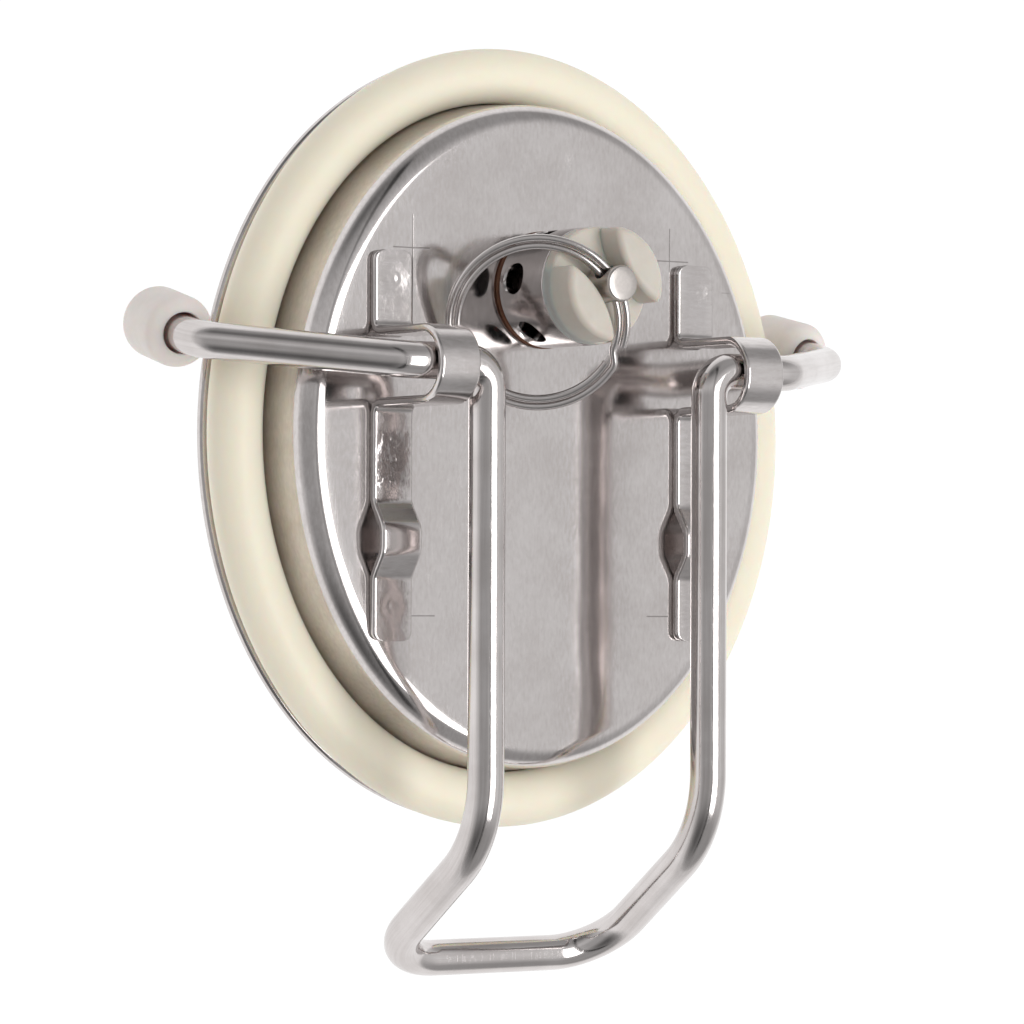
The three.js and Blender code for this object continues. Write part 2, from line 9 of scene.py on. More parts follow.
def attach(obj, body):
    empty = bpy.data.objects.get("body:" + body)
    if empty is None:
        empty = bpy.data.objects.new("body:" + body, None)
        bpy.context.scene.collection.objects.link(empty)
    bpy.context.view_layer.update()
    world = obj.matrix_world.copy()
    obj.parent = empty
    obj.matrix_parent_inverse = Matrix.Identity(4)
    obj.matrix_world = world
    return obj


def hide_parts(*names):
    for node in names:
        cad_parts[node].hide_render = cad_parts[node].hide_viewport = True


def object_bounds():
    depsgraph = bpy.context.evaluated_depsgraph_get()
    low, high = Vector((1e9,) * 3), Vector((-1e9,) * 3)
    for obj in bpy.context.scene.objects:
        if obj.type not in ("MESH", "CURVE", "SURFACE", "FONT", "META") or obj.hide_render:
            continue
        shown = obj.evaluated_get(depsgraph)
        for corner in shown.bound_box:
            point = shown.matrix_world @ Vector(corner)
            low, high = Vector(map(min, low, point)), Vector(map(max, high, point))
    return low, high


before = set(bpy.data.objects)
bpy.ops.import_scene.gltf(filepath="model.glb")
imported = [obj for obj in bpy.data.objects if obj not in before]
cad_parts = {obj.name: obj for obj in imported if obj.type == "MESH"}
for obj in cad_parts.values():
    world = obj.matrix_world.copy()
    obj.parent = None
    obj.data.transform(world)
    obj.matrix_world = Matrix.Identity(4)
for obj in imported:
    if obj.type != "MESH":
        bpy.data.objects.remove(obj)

MM = 0.001
cad_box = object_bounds()

# ---------------------------------------------------------------- sizes shared with the frame

GAP = 0.3                     # between pieces that touch
SEAT_GAP = 0.1                # between flat faces that bear on each other

SHEET = 1.3
SEAL_HALF_WIDTH = 42.0
SEAL_HALF_LENGTH = 48.5
SEAL_RADIUS = 3.4
CROWN_HEIGHT = 13.1
CROWN_EDGE = 3.2
FLANGE_ROOT = 1.6
FLANGE_INSET = 0.6
WALL_DRAFT = 0.9
ROUND_CORE = 15.0             # farther in from the seal than this, the oval only shrinks

STRAP_WIDTH = 6.1
STRAP_SHEET = 1.1
STRAP_NEAR_Y = 23.4
STRAP_FAR_Y = -27.1
STRAP_X = 24.3
LOOP_HEIGHT = 16.7
LOOP_SPAN = 10.2
LOOP_SHIFT = 0.35
LOOP_ROUNDNESS = 0.98
STRAP_FILLET = 1.6
ARCH_Y = -14.0
ARCH_SPAN = 9.6
ARCH_CREST = 3.0
ARCH_RISE = 2.3
ARCH_FILLET = 2.4
WELD_Y = (19.7, -3.6, -22.6)
CRUSHED_WELD = WELD_Y[1]      # on the left strap this one is crushed

WIRE_RADIUS = 2.38
PIVOT_Y = 8.6
PIVOT_Z = 12.8
LEG_X = 17.75
LEG_BEND = 3.4
KNEE_Y = -52.1
KNEE_BEND = 15.0
GRIP_ANGLE = math.radians(55)
GRIP_LENGTH = 29.6
GRIP_CORNER = 8.3
ARM_RUN = 30.2
ARM_BEND = 6.0
FOOT_X = 50.5
FOOT_Y = 12.1
FOOT_Z = -8.0
FOOT_LEAN_IN = math.radians(6)
FOOT_LEAN_FORWARD = math.radians(13)
FOOT_LENGTH = 10.0
FOOT_BORE_DEPTH = 7.6
FOOT_BORE = WIRE_RADIUS + GAP
FOOT_RADIUS = FOOT_BORE + 2.0
ANKLE_BEND = 5.0
ANKLE_RISE = 4.2

VALVE_Y = 19.2
BODY_RADIUS = 7.7
BODY_TOP = 10.6
GASKET_RADIUS = 7.75
GASKET_THICKNESS = 0.6
NECK_RADIUS = 6.0
NECK_BOTTOM = -8.8
NECK_BORE = 4.6
CHAMBER_BORE = 6.4
CHAMBER_FLOOR = 1.6
THREAD_PITCH = 1.25
THREAD_DEPTH = 0.55
SEAT_THICKNESS = 1.4
SEAT_BORE = 2.75
BUNG_RADIUS = 8.8
BUNG_BOTTOM = -7.2
VENT_COUNT = 6
VENT_RADIUS = 2.05
VENT_Z = 3.9
VENT_FIRST = 172              # degrees

CAP_FLOOR = 12.5
CAP_TOP = 16.7
CAP_TOP_RADIUS = 7.5
CAP_EDGE = 0.9
SLOT_HALF_WIDTH = 2.75
LOBE_CURVE = 12.3
SLOT_ANGLE = math.radians(-54.5)

STEM_RADIUS = 1.5
STEM_BORE = 1.85
HEAD_RADIUS = 2.35
HEAD_BOTTOM = 12.9
HEAD_TOP = 17.9
HEAD_CHAMFER = 0.35
RING_HOLE_Z = 15.55
RING_HOLE_RADIUS = 1.5
STEM_BOTTOM = -10.0

RING_RADIUS = 11.0
RING_WIRE = 0.5
RING_PITCH = 1.1
RING_JOG = 12                 # degrees taken to step out to the second turn
RING_END = 60                 # degrees from the stem to the wire's first end
RING_DROOP = math.radians(39.6)

POPPET_RADIUS = 4.0
POPPET_THICKNESS = 1.4
POPPET_SEAL_THICKNESS = 1.2
RETAINER_RADIUS = 2.35
RETAINER_THICKNESS = 0.9
WASHER_RADIUS = 4.3
WASHER_THICKNESS = 0.6

# ---------------------------------------------------------------- mesh helpers

TURNS = 128                   # facets round a turned piece
OVAL_TURNS = 256              # facets round the lid
SHARP = math.radians(38)      # edges bent by more than this stay crisp
ON_AXIS = 1e-6                # a radius below this is on the axis
SAME_POINT = 1e-7             # metres


def skin(rings, closed=False):
    """Vertices and faces of a surface through rings of points, capped unless it closes."""
    rings = np.array(rings, float)
    count, sides = rings.shape[:2]
    faces = []
    for i in range(count if closed else count - 1):
        low, high = i * sides, ((i + 1) % count) * sides
        for k in range(sides):
            after = (k + 1) % sides
            faces.append((low + k, low + after, high + after, high + k))
    if not closed:
        faces.append(tuple(range(sides))[::-1])
        faces.append(tuple(range((count - 1) * sides, count * sides)))
    return rings.reshape(-1, 3), faces


def piece(name, *shells, along=None):
    """One object from shells of (vertices, faces) in millimetres, smooth but for crisp edges."""
    mesh = bpy.data.meshes.new(name)
    vertices, faces = [], []
    for points, polygons in shells:
        faces += [tuple(len(vertices) + index for index in polygon) for polygon in polygons]
        vertices += list(np.array(points, float) * MM)
    mesh.from_pydata(vertices, [], faces)
    if along is not None:
        attribute = mesh.attributes.new("drawn", "FLOAT_VECTOR", "POINT")
        attribute.data.foreach_set("vector", np.array(along, np.float32).reshape(-1))
    work = bmesh.new()
    work.from_mesh(mesh)
    bmesh.ops.remove_doubles(work, verts=work.verts, dist=SAME_POINT)
    bmesh.ops.recalc_face_normals(work, faces=work.faces)
    work.to_mesh(mesh)
    work.free()
    made = bpy.data.objects.new(name, mesh)
    bpy.context.scene.collection.objects.link(made)
    smooth(made)
    return made


def smooth(made):
    """Smooth shading that stops at sharp edges."""
    made.data.shade_smooth()
    made.data.set_sharp_from_angle(angle=SHARP)


def carve(made, *cutters):
    """Cuts the cutters out of a piece and throws them away."""
    for cutter in cutters:
        cut = made.modifiers.new("cut", "BOOLEAN")
        cut.operation = "DIFFERENCE"
        cut.solver = "EXACT"
        cut.object = cutter
    graph = bpy.context.evaluated_depsgraph_get()
    mesh = bpy.data.meshes.new_from_object(made.evaluated_get(graph))
    made.modifiers.clear()
    made.data = mesh
    for cutter in cutters:
        bpy.data.objects.remove(cutter)
    smooth(made)
    return made


def arc(radius, z, size, start, end, count=8):
    """Points of a round corner in a turned section, from one angle to another in degrees."""
    angles = np.radians(np.linspace(start, end, count + 1))
    return [(radius + size * math.cos(a), z + size * math.sin(a)) for a in angles]


def turned(profile, turns=TURNS, centre=(0.0, 0.0)):
    """A turned shell about Z from (radius, z) pairs; a profile off the axis closes on itself."""
    angles = np.linspace(0, 2 * math.pi, turns, endpoint=False)
    rings = [[(centre[0] + r * math.cos(a), centre[1] + r * math.sin(a), z) for a in angles]
             for r, z in profile]
    on_axis = profile[0][0] < ON_AXIS and profile[-1][0] < ON_AXIS
    return skin(rings, closed=not on_axis)


def valve_turned(profile, turns=TURNS):
    """A turned shell about the valve's axis."""
    return turned(profile, turns, (0.0, VALVE_Y))


def moved(shell, matrix):
    """The same shell at another place."""
    points, faces = shell
    return [matrix @ Vector(p) for p in points], faces


def bent(corners, radii, step=4.0):
    """Stations along straight runs joined by round bends, one radius for each inner corner."""
    corners = [Vector(c) for c in corners]
    stations = [corners[0]]
    for before, here, after, radius in zip(corners, corners[1:], corners[2:], radii):
        back = (before - here).normalized()
        ahead = (after - here).normalized()
        half = back.angle(ahead) / 2
        centre = here + (back + ahead).normalized() * (radius / math.sin(half))
        start = here + back * (radius / math.tan(half)) - centre
        axis = ahead.cross(back).normalized()
        sweep = math.pi - 2 * half
        count = max(2, math.ceil(math.degrees(sweep) / step))
        for k in range(count + 1):
            stations.append(centre + Quaternion(axis, sweep * k / count) @ start)
    return stations + [corners[-1]]


def refined(stations, longest):
    """The same line with its straight runs divided so that no step is longer than this."""
    points = [stations[0]]
    for a, b in zip(stations, stations[1:]):
        count = max(1, math.ceil((b - a).length / longest))
        points += [a.lerp(b, (k + 1) / count) for k in range(count)]
    return points


def directions(stations):
    """Which way a line runs at each of its stations."""
    ends = [stations[0], *stations, stations[-1]]
    return [(after - before).normalized() for before, after in zip(ends, ends[2:])]


def round_wire(name, stations, radius, sides=36):
    """A round wire along stations. The attribute "drawn" holds its unrolled coordinates."""
    tangents = directions(stations)
    side = tangents[0].orthogonal().normalized()
    rings, drawn = [], []
    travelled = 0.0
    for i, (station, tangent) in enumerate(zip(stations, tangents)):
        if i:
            travelled += (station - stations[i - 1]).length
            side = tangents[i - 1].rotation_difference(tangent) @ side
        up = tangent.cross(side)
        ring = []
        for k in range(sides):
            turn = 2 * math.pi * k / sides
            arm = side * math.cos(turn) + up * math.sin(turn)
            ring.append(station + arm * radius)
            drawn.append((radius * math.cos(turn), radius * math.sin(turn), travelled))
        rings.append(ring)
    return piece(name, skin(rings), along=drawn)


# ---------------------------------------------------------------- lid shell and seal ring


def on_oval(radius, turn):
    """Bends a circle of centreline radius SEAL_HALF_LENGTH round the lid's oval instead."""
    along = Vector((SEAL_HALF_WIDTH * math.cos(turn), SEAL_HALF_LENGTH * math.sin(turn)))
    outward = Vector((math.cos(turn) / SEAL_HALF_WIDTH, math.sin(turn) / SEAL_HALF_LENGTH))
    outward.normalize()
    inner = SEAL_HALF_LENGTH - ROUND_CORE
    offset = max(radius, inner) - SEAL_HALF_LENGTH
    return (along + outward * offset) * min(radius / inner, 1.0)


def oval_turned(profile):
    """A shell whose section runs round the lid's oval, from (radius along Y, z) pairs."""
    angles = np.linspace(0, 2 * math.pi, OVAL_TURNS, endpoint=False)
    rings = [[(*on_oval(r, a), z) for a in angles] for r, z in profile]
    return skin(rings, closed=profile[0][0] > ON_AXIS)


FLANGE_TOP = -CROWN_HEIGHT
WALL_FOOT = SEAL_HALF_LENGTH - SEAL_RADIUS - GAP
WALL_HEAD = WALL_FOOT - WALL_DRAFT
RIM = SEAL_HALF_LENGTH + SEAL_RADIUS - FLANGE_INSET


def make_shell():
    underside = FLANGE_TOP - SHEET
    crown = WALL_HEAD - CROWN_EDGE
    level = crown - 1.2                # the face is level inside this radius
    profile = [
        (0, -SHEET),
        (level, -SHEET),
        *arc(crown, -CROWN_EDGE, CROWN_EDGE - SHEET, 90, 0),
        *arc(WALL_FOOT - SHEET + FLANGE_ROOT, underside + FLANGE_ROOT, FLANGE_ROOT, 180, 270),
        *arc(RIM - SHEET / 2, FLANGE_TOP - SHEET / 2, SHEET / 2, -90, 90),
        (WALL_FOOT, FLANGE_TOP),
        *arc(crown, -CROWN_EDGE, CROWN_EDGE, 0, 90, 14),
        (level, 0),
        (0, 0),
    ]
    shell = piece("shell", oval_turned(profile))
    bore = NECK_RADIUS + GAP
    hole = [(0, -3 * SHEET), (bore, -3 * SHEET), (bore, 3 * SHEET), (0, 3 * SHEET)]
    return carve(shell, piece("hole", valve_turned(hole)))


def make_seal():
    """A round section, pressed out on its inner side until it all but meets the crown wall."""
    pressed = 0.55
    steps = 48
    height = FLANGE_TOP + SEAL_RADIUS + SEAT_GAP
    section = []
    for across, z in arc(0.0, height, SEAL_RADIUS, 0, 360 - 360 / steps, steps - 1):
        bulge = pressed * min(across, 0.0) / SEAL_RADIUS
        section.append((SEAL_HALF_LENGTH + across + bulge, z))
    return piece("seal_ring", oval_turned(section))


# ---------------------------------------------------------------- strap brackets


def strap_path():
    """The middle of the strap's sheet, from its valve end over the loop and the small arch."""
    mid = STRAP_SHEET / 2
    half = (LOOP_SPAN - STRAP_SHEET) / 2
    middle = PIVOT_Y - LOOP_SHIFT
    top = LOOP_HEIGHT - mid
    crest = ARCH_RISE + mid
    outline = [
        (STRAP_NEAR_Y, mid),
        (middle + half, mid),
        (middle + half, top),
        (middle - half, top),
        (middle - half, mid),
        (ARCH_Y + ARCH_SPAN / 2, mid),
        (ARCH_Y + ARCH_CREST / 2, crest),
        (ARCH_Y - ARCH_CREST / 2, crest),
        (ARCH_Y - ARCH_SPAN / 2, mid),
        (STRAP_FAR_Y, mid),
    ]
    crown = half * LOOP_ROUNDNESS
    radii = [STRAP_FILLET, crown, crown, STRAP_FILLET] + [ARCH_FILLET] * 4
    return refined(bent([(0, y, z) for y, z in outline], radii), 0.25)


def strap_section(half_width, edge):
    """A flat section with rounded edges, as (across, up) pairs, its faces divided for relief."""
    tall = STRAP_SHEET / 2 - edge
    wide = half_width - edge
    face = wide - 0.08                 # the faces stay flat up to just inside their edges
    shares = np.linspace(1, -1, 23)
    points = []
    for quarter, (x, z) in enumerate([(wide, tall), (-wide, tall), (-wide, -tall), (wide, -tall)]):
        points += arc(x, z, edge, quarter * 90, quarter * 90 + 90, 4)
        if quarter % 2 == 0:
            side = 1 if quarter == 0 else -1
            points += [(side * share * face, side * STRAP_SHEET / 2) for share in shares]
    return points


def bell(distance, reach):
    """1 at no distance, falling smoothly to 0 at the reach."""
    return (1 + math.cos(math.pi * distance / reach)) / 2 if abs(distance) < reach else 0.0


def pad_height(side, across, y):
    """The spot welds draw the pads' tops in; each leaves a dish with a small ring in it."""
    dish_radius = 2.5
    ring_radius = 0.6
    ring_width = 0.35
    ring_height = 0.035
    height = 0.0
    for weld in WELD_Y:
        crushed = side < 0 and weld == CRUSHED_WELD
        depth = 0.20 if crushed else 0.09
        away = math.hypot(across, y - weld)
        height -= depth * bell(away, dish_radius)
        height += ring_height * bell(away - ring_radius, ring_width)
    return height


def make_strap(name, side):
    corner = 1.3                       # rounded corners of the strap's two ends
    edge = 0.42
    level = 0.001                      # a station this near the crown lies flat on it
    stations = strap_path()
    tangents = directions(stations)
    total = sum((b - a).length for a, b in zip(stations, stations[1:]))
    across = Vector((1, 0, 0))
    rings = []
    travelled = 0.0
    for i, (station, tangent) in enumerate(zip(stations, tangents)):
        if i:
            travelled += (station - stations[i - 1]).length
        short = corner - min(travelled, total - travelled, corner)
        half_width = STRAP_WIDTH / 2 - corner + math.sqrt(corner ** 2 - short ** 2)
        up = across.cross(tangent).normalized()
        middle = station + across * (side * STRAP_X)
        on_crown = abs(station.z - STRAP_SHEET / 2) < level
        ring = []
        for x, z in strap_section(half_width, edge):
            place = middle + across * x + up * z
            if on_crown and place.z > STRAP_SHEET - level:
                place.z += pad_height(side, x, place.y)
            ring.append(place)
        rings.append(ring)
    return piece(name, skin(rings))


# ---------------------------------------------------------------- bail lever and feet


def foot_axis(side):
    """Direction from a foot's mouth to its sole."""
    inward = -side * math.sin(FOOT_LEAN_IN)
    forward = math.sin(FOOT_LEAN_FORWARD)
    return Vector((inward, forward, -math.sqrt(1 - inward ** 2 - forward ** 2)))


def bail_half(side):
    """Corners of half the lever, from inside its foot to the grip."""
    mouth = Vector((side * FOOT_X, FOOT_Y, FOOT_Z))
    axis = foot_axis(side)
    grip_y = KNEE_Y - GRIP_LENGTH * math.cos(GRIP_ANGLE)
    grip_z = PIVOT_Z - GRIP_LENGTH * math.sin(GRIP_ANGLE)
    return [
        mouth + axis * (FOOT_BORE_DEPTH - GAP),
        mouth - axis * ANKLE_RISE,
        (side * ARM_RUN, PIVOT_Y, PIVOT_Z),
        (side * LEG_X, PIVOT_Y, PIVOT_Z),
        (side * LEG_X, KNEE_Y, PIVOT_Z),
        (side * LEG_X, grip_y, grip_z),
    ]


def make_bail():
    bends = [ANKLE_BEND, ARM_BEND, LEG_BEND, KNEE_BEND, GRIP_CORNER]
    stations = bent(bail_half(-1) + bail_half(1)[::-1], bends + bends[::-1], 3.0)
    return round_wire("lever_wire", refined(stations, 2.0), WIRE_RADIUS, 48)


def make_foot(name, side):
    lip = 0.2
    shoulder = FOOT_RADIUS - FOOT_BORE - lip
    sole = 2.0
    profile = [
        (0, FOOT_BORE_DEPTH),
        (FOOT_BORE, FOOT_BORE_DEPTH),
        *arc(FOOT_BORE + lip, lip, lip, 180, 270, 3),
        *arc(FOOT_RADIUS - shoulder, shoulder, shoulder, 270, 360, 12)[1:],
        *arc(FOOT_RADIUS - sole, FOOT_LENGTH - sole, sole, 0, 90, 12),
        (0, FOOT_LENGTH),
    ]
    upright = Vector((0, 0, 1)).rotation_difference(foot_axis(side)).to_matrix().to_4x4()
    place = Matrix.Translation((side * FOOT_X, FOOT_Y, FOOT_Z)) @ upright
    return piece(name, moved(turned(profile, 96), place))


# ---------------------------------------------------------------- relief valve


def threaded_neck():
    """The outline of the threaded neck, from its lower end up to the lid."""
    count = int((-SHEET - NECK_BOTTOM) / THREAD_PITCH)
    points = []
    for i in range(count):
        z = NECK_BOTTOM + i * THREAD_PITCH
        points.append((NECK_RADIUS - THREAD_DEPTH, z))
        points.append((NECK_RADIUS, z + THREAD_PITCH / 2))
    return points + [(NECK_RADIUS - THREAD_DEPTH, -SHEET)]


def make_vent(turn):
    """A drill with a flared mouth, so that each vent gets a small countersink."""
    flare = 0.22
    reach = 2 * BODY_RADIUS
    edge = BODY_RADIUS - 0.12
    drill = turned([
        (0, 0), (VENT_RADIUS, 0), (VENT_RADIUS, edge - flare),
        (VENT_RADIUS + flare, edge), (VENT_RADIUS + 6 * flare, reach), (0, reach),
    ], 48)
    lie_down = Matrix.Rotation(math.pi / 2, 4, "Y")
    place = Matrix.Translation((0, VALVE_Y, VENT_Z)) @ Matrix.Rotation(turn, 4, "Z") @ lie_down
    return piece("vent", moved(drill, place))


def make_body():
    chamfer = 0.35
    lip = 0.2
    body = piece("valve_barrel", valve_turned([
        (SEAT_BORE, NECK_BOTTOM),
        *threaded_neck(),
        (NECK_RADIUS - THREAD_DEPTH, GASKET_THICKNESS),
        (BODY_RADIUS - chamfer, GASKET_THICKNESS),
        (BODY_RADIUS, GASKET_THICKNESS + chamfer),
        *arc(BODY_RADIUS - lip, BODY_TOP - lip, lip, 0, 90, 4),
        (CHAMBER_BORE, BODY_TOP),
        (CHAMBER_BORE, CHAMBER_FLOOR),
        (NECK_BORE, CHAMBER_FLOOR),
        (NECK_BORE, NECK_BOTTOM + SEAT_THICKNESS),
        (SEAT_BORE, NECK_BOTTOM + SEAT_THICKNESS),
    ]))
    turns = [math.radians(VENT_FIRST + 360 / VENT_COUNT * i) for i in range(VENT_COUNT)]
    return carve(body, *[make_vent(turn) for turn in turns])


def lobe_outline(outer, inset):
    """One side of the cap seen from above: a round edge and a wall that bows towards the stem."""
    passes = 24                        # each one rounds the two corners a little more
    outer -= inset
    bow = LOBE_CURVE - inset
    centre = SLOT_HALF_WIDTH + LOBE_CURVE
    corner_y = (outer ** 2 - bow ** 2 + centre ** 2) / (2 * centre)
    rim = math.asin(corner_y / outer)
    wall = math.asin(outer * math.cos(rim) / bow)
    rim_turns = np.linspace(rim, math.pi - rim, 73)
    wall_turns = np.linspace(-wall, wall, 65)
    round_edge = [(outer * math.cos(a), outer * math.sin(a)) for a in rim_turns]
    bowed_wall = [(bow * math.sin(a), centre - bow * math.cos(a)) for a in wall_turns]
    points = np.array(round_edge + bowed_wall[1:-1])
    for _ in range(passes):
        points = (np.roll(points, 1, 0) + 2 * points + np.roll(points, -1, 0)) / 4
    return points


def make_lobe(side):
    """One half of the cap, tapering upwards to a rounded top edge."""
    heel = 0.15
    bottom = BODY_TOP + SEAT_GAP
    levels = [(bottom, 0.0), (bottom + heel, 0.0)]
    for a in np.radians(np.linspace(0, 90, 10)):
        levels.append((CAP_TOP - CAP_EDGE + CAP_EDGE * math.sin(a), CAP_EDGE * (1 - math.cos(a))))
    turn = Matrix.Rotation(SLOT_ANGLE + (math.pi if side < 0 else 0), 4, "Z")
    place = Matrix.Translation((0, VALVE_Y, 0)) @ turn
    rings = []
    for z, inset in levels:
        share = (z - bottom) / (CAP_TOP - bottom)
        outer = BODY_RADIUS + (CAP_TOP_RADIUS - BODY_RADIUS) * share
        rings.append([(x, y, z) for x, y in lobe_outline(outer, inset)])
    return moved(skin(rings), place)


def make_cap():
    """A round base with the stem's hole, and a lobe on each side of the slot."""
    edge = 0.42
    setback = 0.06
    bottom = BODY_TOP + SEAT_GAP
    rim = BODY_RADIUS - setback
    base = valve_turned([
        (STEM_BORE, bottom),
        (rim, bottom),
        *arc(rim - edge, CAP_FLOOR - edge, edge, 0, 90, 5),
        (STEM_BORE, CAP_FLOOR),
    ])
    return piece("cap_moulding", base, make_lobe(1), make_lobe(-1))


def make_stem():
    crown = 0.10                       # the head's top is very slightly domed
    bevel = 0.15
    stem = piece("stem_turning", valve_turned([
        (0, STEM_BOTTOM),
        (STEM_RADIUS, STEM_BOTTOM),
        (STEM_RADIUS, HEAD_BOTTOM),
        (HEAD_RADIUS - bevel, HEAD_BOTTOM),
        (HEAD_RADIUS, HEAD_BOTTOM + bevel),
        *arc(HEAD_RADIUS - HEAD_CHAMFER, HEAD_TOP - crown / 4 - HEAD_CHAMFER, HEAD_CHAMFER, 0, 80, 6),
        (HEAD_RADIUS / 2, HEAD_TOP - crown / 8),
        (0, HEAD_TOP),
    ], 96))
    reach = 2 * HEAD_RADIUS
    hole = [(0, -reach), (RING_HOLE_RADIUS, -reach), (RING_HOLE_RADIUS, reach), (0, reach)]
    drill = turned(hole, 48)
    turn = Matrix.Rotation(SLOT_ANGLE, 4, "Z") @ Matrix.Rotation(math.pi / 2, 4, "Y")
    place = Matrix.Translation((0, VALVE_Y, RING_HOLE_Z)) @ turn
    return carve(stem, piece("ring_hole", moved(drill, place)))


def make_ring():
    """Two flat turns of wire, the second round the outside of the first."""
    slot_axis = Vector((math.cos(SLOT_ANGLE), math.sin(SLOT_ANGLE), 0))
    outward = Vector((math.sin(SLOT_ANGLE), -math.cos(SLOT_ANGLE), 0))
    to_stem = outward * -math.cos(RING_DROOP) + Vector((0, 0, math.sin(RING_DROOP)))
    hole = Vector((0, VALVE_Y, RING_HOLE_Z))
    step = 3
    stations = []
    for swept in range(0, 720 - RING_JOG - step + 1, step):
        share = min(max((swept - 360 + RING_JOG) / RING_JOG, 0.0), 1.0)
        jog = share * share * (3 - 2 * share)
        radius = RING_RADIUS + RING_PITCH * (jog - 0.5)
        turn = math.radians(RING_END + swept)
        inward = radius * math.cos(turn) - RING_RADIUS
        stations.append(hole + to_stem * inward + slot_axis * (radius * math.sin(turn)))
    return round_wire("ring_wire", stations, RING_WIRE, 24)


def flat_ring(name, inner, outer, bottom, top, edge=0.12):
    """A washer-like piece with small rounded edges."""
    return piece(name, valve_turned([
        (inner, bottom),
        *arc(outer - edge, bottom + edge, edge, -90, 0, 3),
        *arc(outer - edge, top - edge, edge, 0, 90, 3),
        (inner, top),
    ]))


# ---------------------------------------------------------------- shader arithmetic


class Signal:
    """A shader socket that Python arithmetic works on."""

    def __init__(self, graph, socket):
        self.graph = graph
        self.socket = socket

    def math(self, operation, *values, clamp=False):
        settings = {"operation": operation, "use_clamp": clamp}
        node = self.graph.node("ShaderNodeMath", settings, dict(enumerate(values)))
        return Signal(self.graph, node.outputs[0])

    def __add__(self, other):
        return self.math("ADD", self, other)

    def __radd__(self, other):
        return self.math("ADD", other, self)

    def __sub__(self, other):
        return self.math("SUBTRACT", self, other)

    def __rsub__(self, other):
        return self.math("SUBTRACT", other, self)

    def __mul__(self, other):
        return self.math("MULTIPLY", self, other)

    def __rmul__(self, other):
        return self.math("MULTIPLY", other, self)

    def __abs__(self):
        return self.math("ABSOLUTE", self)

    def sine(self):
        return self.math("SINE", self)

    def root(self):
        return self.math("SQRT", self)

    def clamped(self):
        return self.math("ADD", self, 0.0, clamp=True)

    def at_least(self, other):
        return self.math("MAXIMUM", self, other)

    def ramp(self, low, high):
        """0 at low and 1 at high, smooth between; low may be the larger."""
        sockets = {"Value": self, "From Min": low, "From Max": high}
        node = self.graph.node("ShaderNodeMapRange", {"interpolation_type": "SMOOTHSTEP"}, sockets)
        return Signal(self.graph, node.outputs["Result"])


class Graph:
    """A node tree that is written as expressions."""

    def __init__(self, tree):
        self.tree = tree

    def node(self, kind, settings=None, sockets=None):
        made = self.tree.nodes.new(kind)
        for key, value in (settings or {}).items():
            setattr(made, key, value)
        for key, value in (sockets or {}).items():
            self.feed(made.inputs[key], value)
        return made

    def feed(self, socket, value):
        if isinstance(value, Signal):
            self.tree.links.new(value.socket, socket)
        else:
            socket.default_value = value

    def coordinates(self, attribute=None):
        """Millimetre coordinates in the piece's frame, or its unrolled wire coordinates."""
        if attribute:
            node = self.node("ShaderNodeAttribute", {"attribute_name": attribute})
            return Signal(self, node.outputs["Vector"])
        node = self.node("ShaderNodeTexCoord")
        scaled = self.node("ShaderNodeVectorMath", {"operation": "SCALE"},
                           {0: Signal(self, node.outputs["Object"]), "Scale": 1 / MM})
        return Signal(self, scaled.outputs[0])

    def split(self, vector):
        """The x, y and z of a vector."""
        node = self.node("ShaderNodeSeparateXYZ", None, {0: vector})
        return [Signal(self, output) for output in node.outputs]

    def join(self, x, y, z):
        node = self.node("ShaderNodeCombineXYZ", None, {0: x, 1: y, 2: z})
        return Signal(self, node.outputs[0])

    def noise(self, vector, scale, stretch=(1, 1, 1), detail=3.0, roughness=0.5):
        """Smooth noise from 0 to 1, with scale features per millimetre where stretch is 1."""
        spread = self.node("ShaderNodeVectorMath", {"operation": "MULTIPLY"}, {0: vector, 1: stretch})
        sockets = {
            "Vector": Signal(self, spread.outputs[0]),
            "Scale": scale,
            "Detail": detail,
            "Roughness": roughness,
        }
        node = self.node("ShaderNodeTexNoise", None, sockets)
        return Signal(self, node.outputs[0])

    def blend(self, share, first, second):
        """Mixes two colours by share."""
        node = self.node("ShaderNodeMix", {"data_type": "RGBA"})
        for key, value in (("Factor_Float", share), ("A_Color", first), ("B_Color", second)):
            socket = next(s for s in node.inputs if s.identifier == key)
            self.feed(socket, value)
        return Signal(self, next(s for s in node.outputs if s.identifier == "Result_Color"))

    def bump(self, height, strength=1.0):
        """A normal from a height in millimetres."""
        sockets = {"Height": height, "Distance": MM, "Strength": strength}
        node = self.node("ShaderNodeBump", None, sockets)
        return Signal(self, node.outputs["Normal"])


def colour(red, green, blue):
    """A linear colour from display values of 0 to 255."""
    def linear(value):
        share = value / 255
        return share / 12.92 if share <= 0.04045 else ((share + 0.055) / 1.055) ** 2.4
    return (linear(red), linear(green), linear(blue), 1.0)


def material(name, **constants):
    """The graph of a new material, with these numbers on its shader's own sockets."""
    made = bpy.data.materials.new(name)
    made.use_nodes = True
    graph = Graph(made.node_tree)
    graph.material = made
    graph.shader = made.node_tree.nodes["Principled BSDF"]
    for key, value in constants.items():
        graph.feed(graph.shader.inputs[key.replace("_", " ")], value)
    return graph


# ---------------------------------------------------------------- materials

STEEL_LIGHT = colour(218, 213, 212)
STEEL_DARK = colour(196, 190, 188)
# Dark tone for scribed marks and weld tint, and also for painted shade in the valve bore and painted
# dark reflection on the strap pads.
DARK_MARKS_AND_PAINTED_SHADE = colour(70, 62, 60)


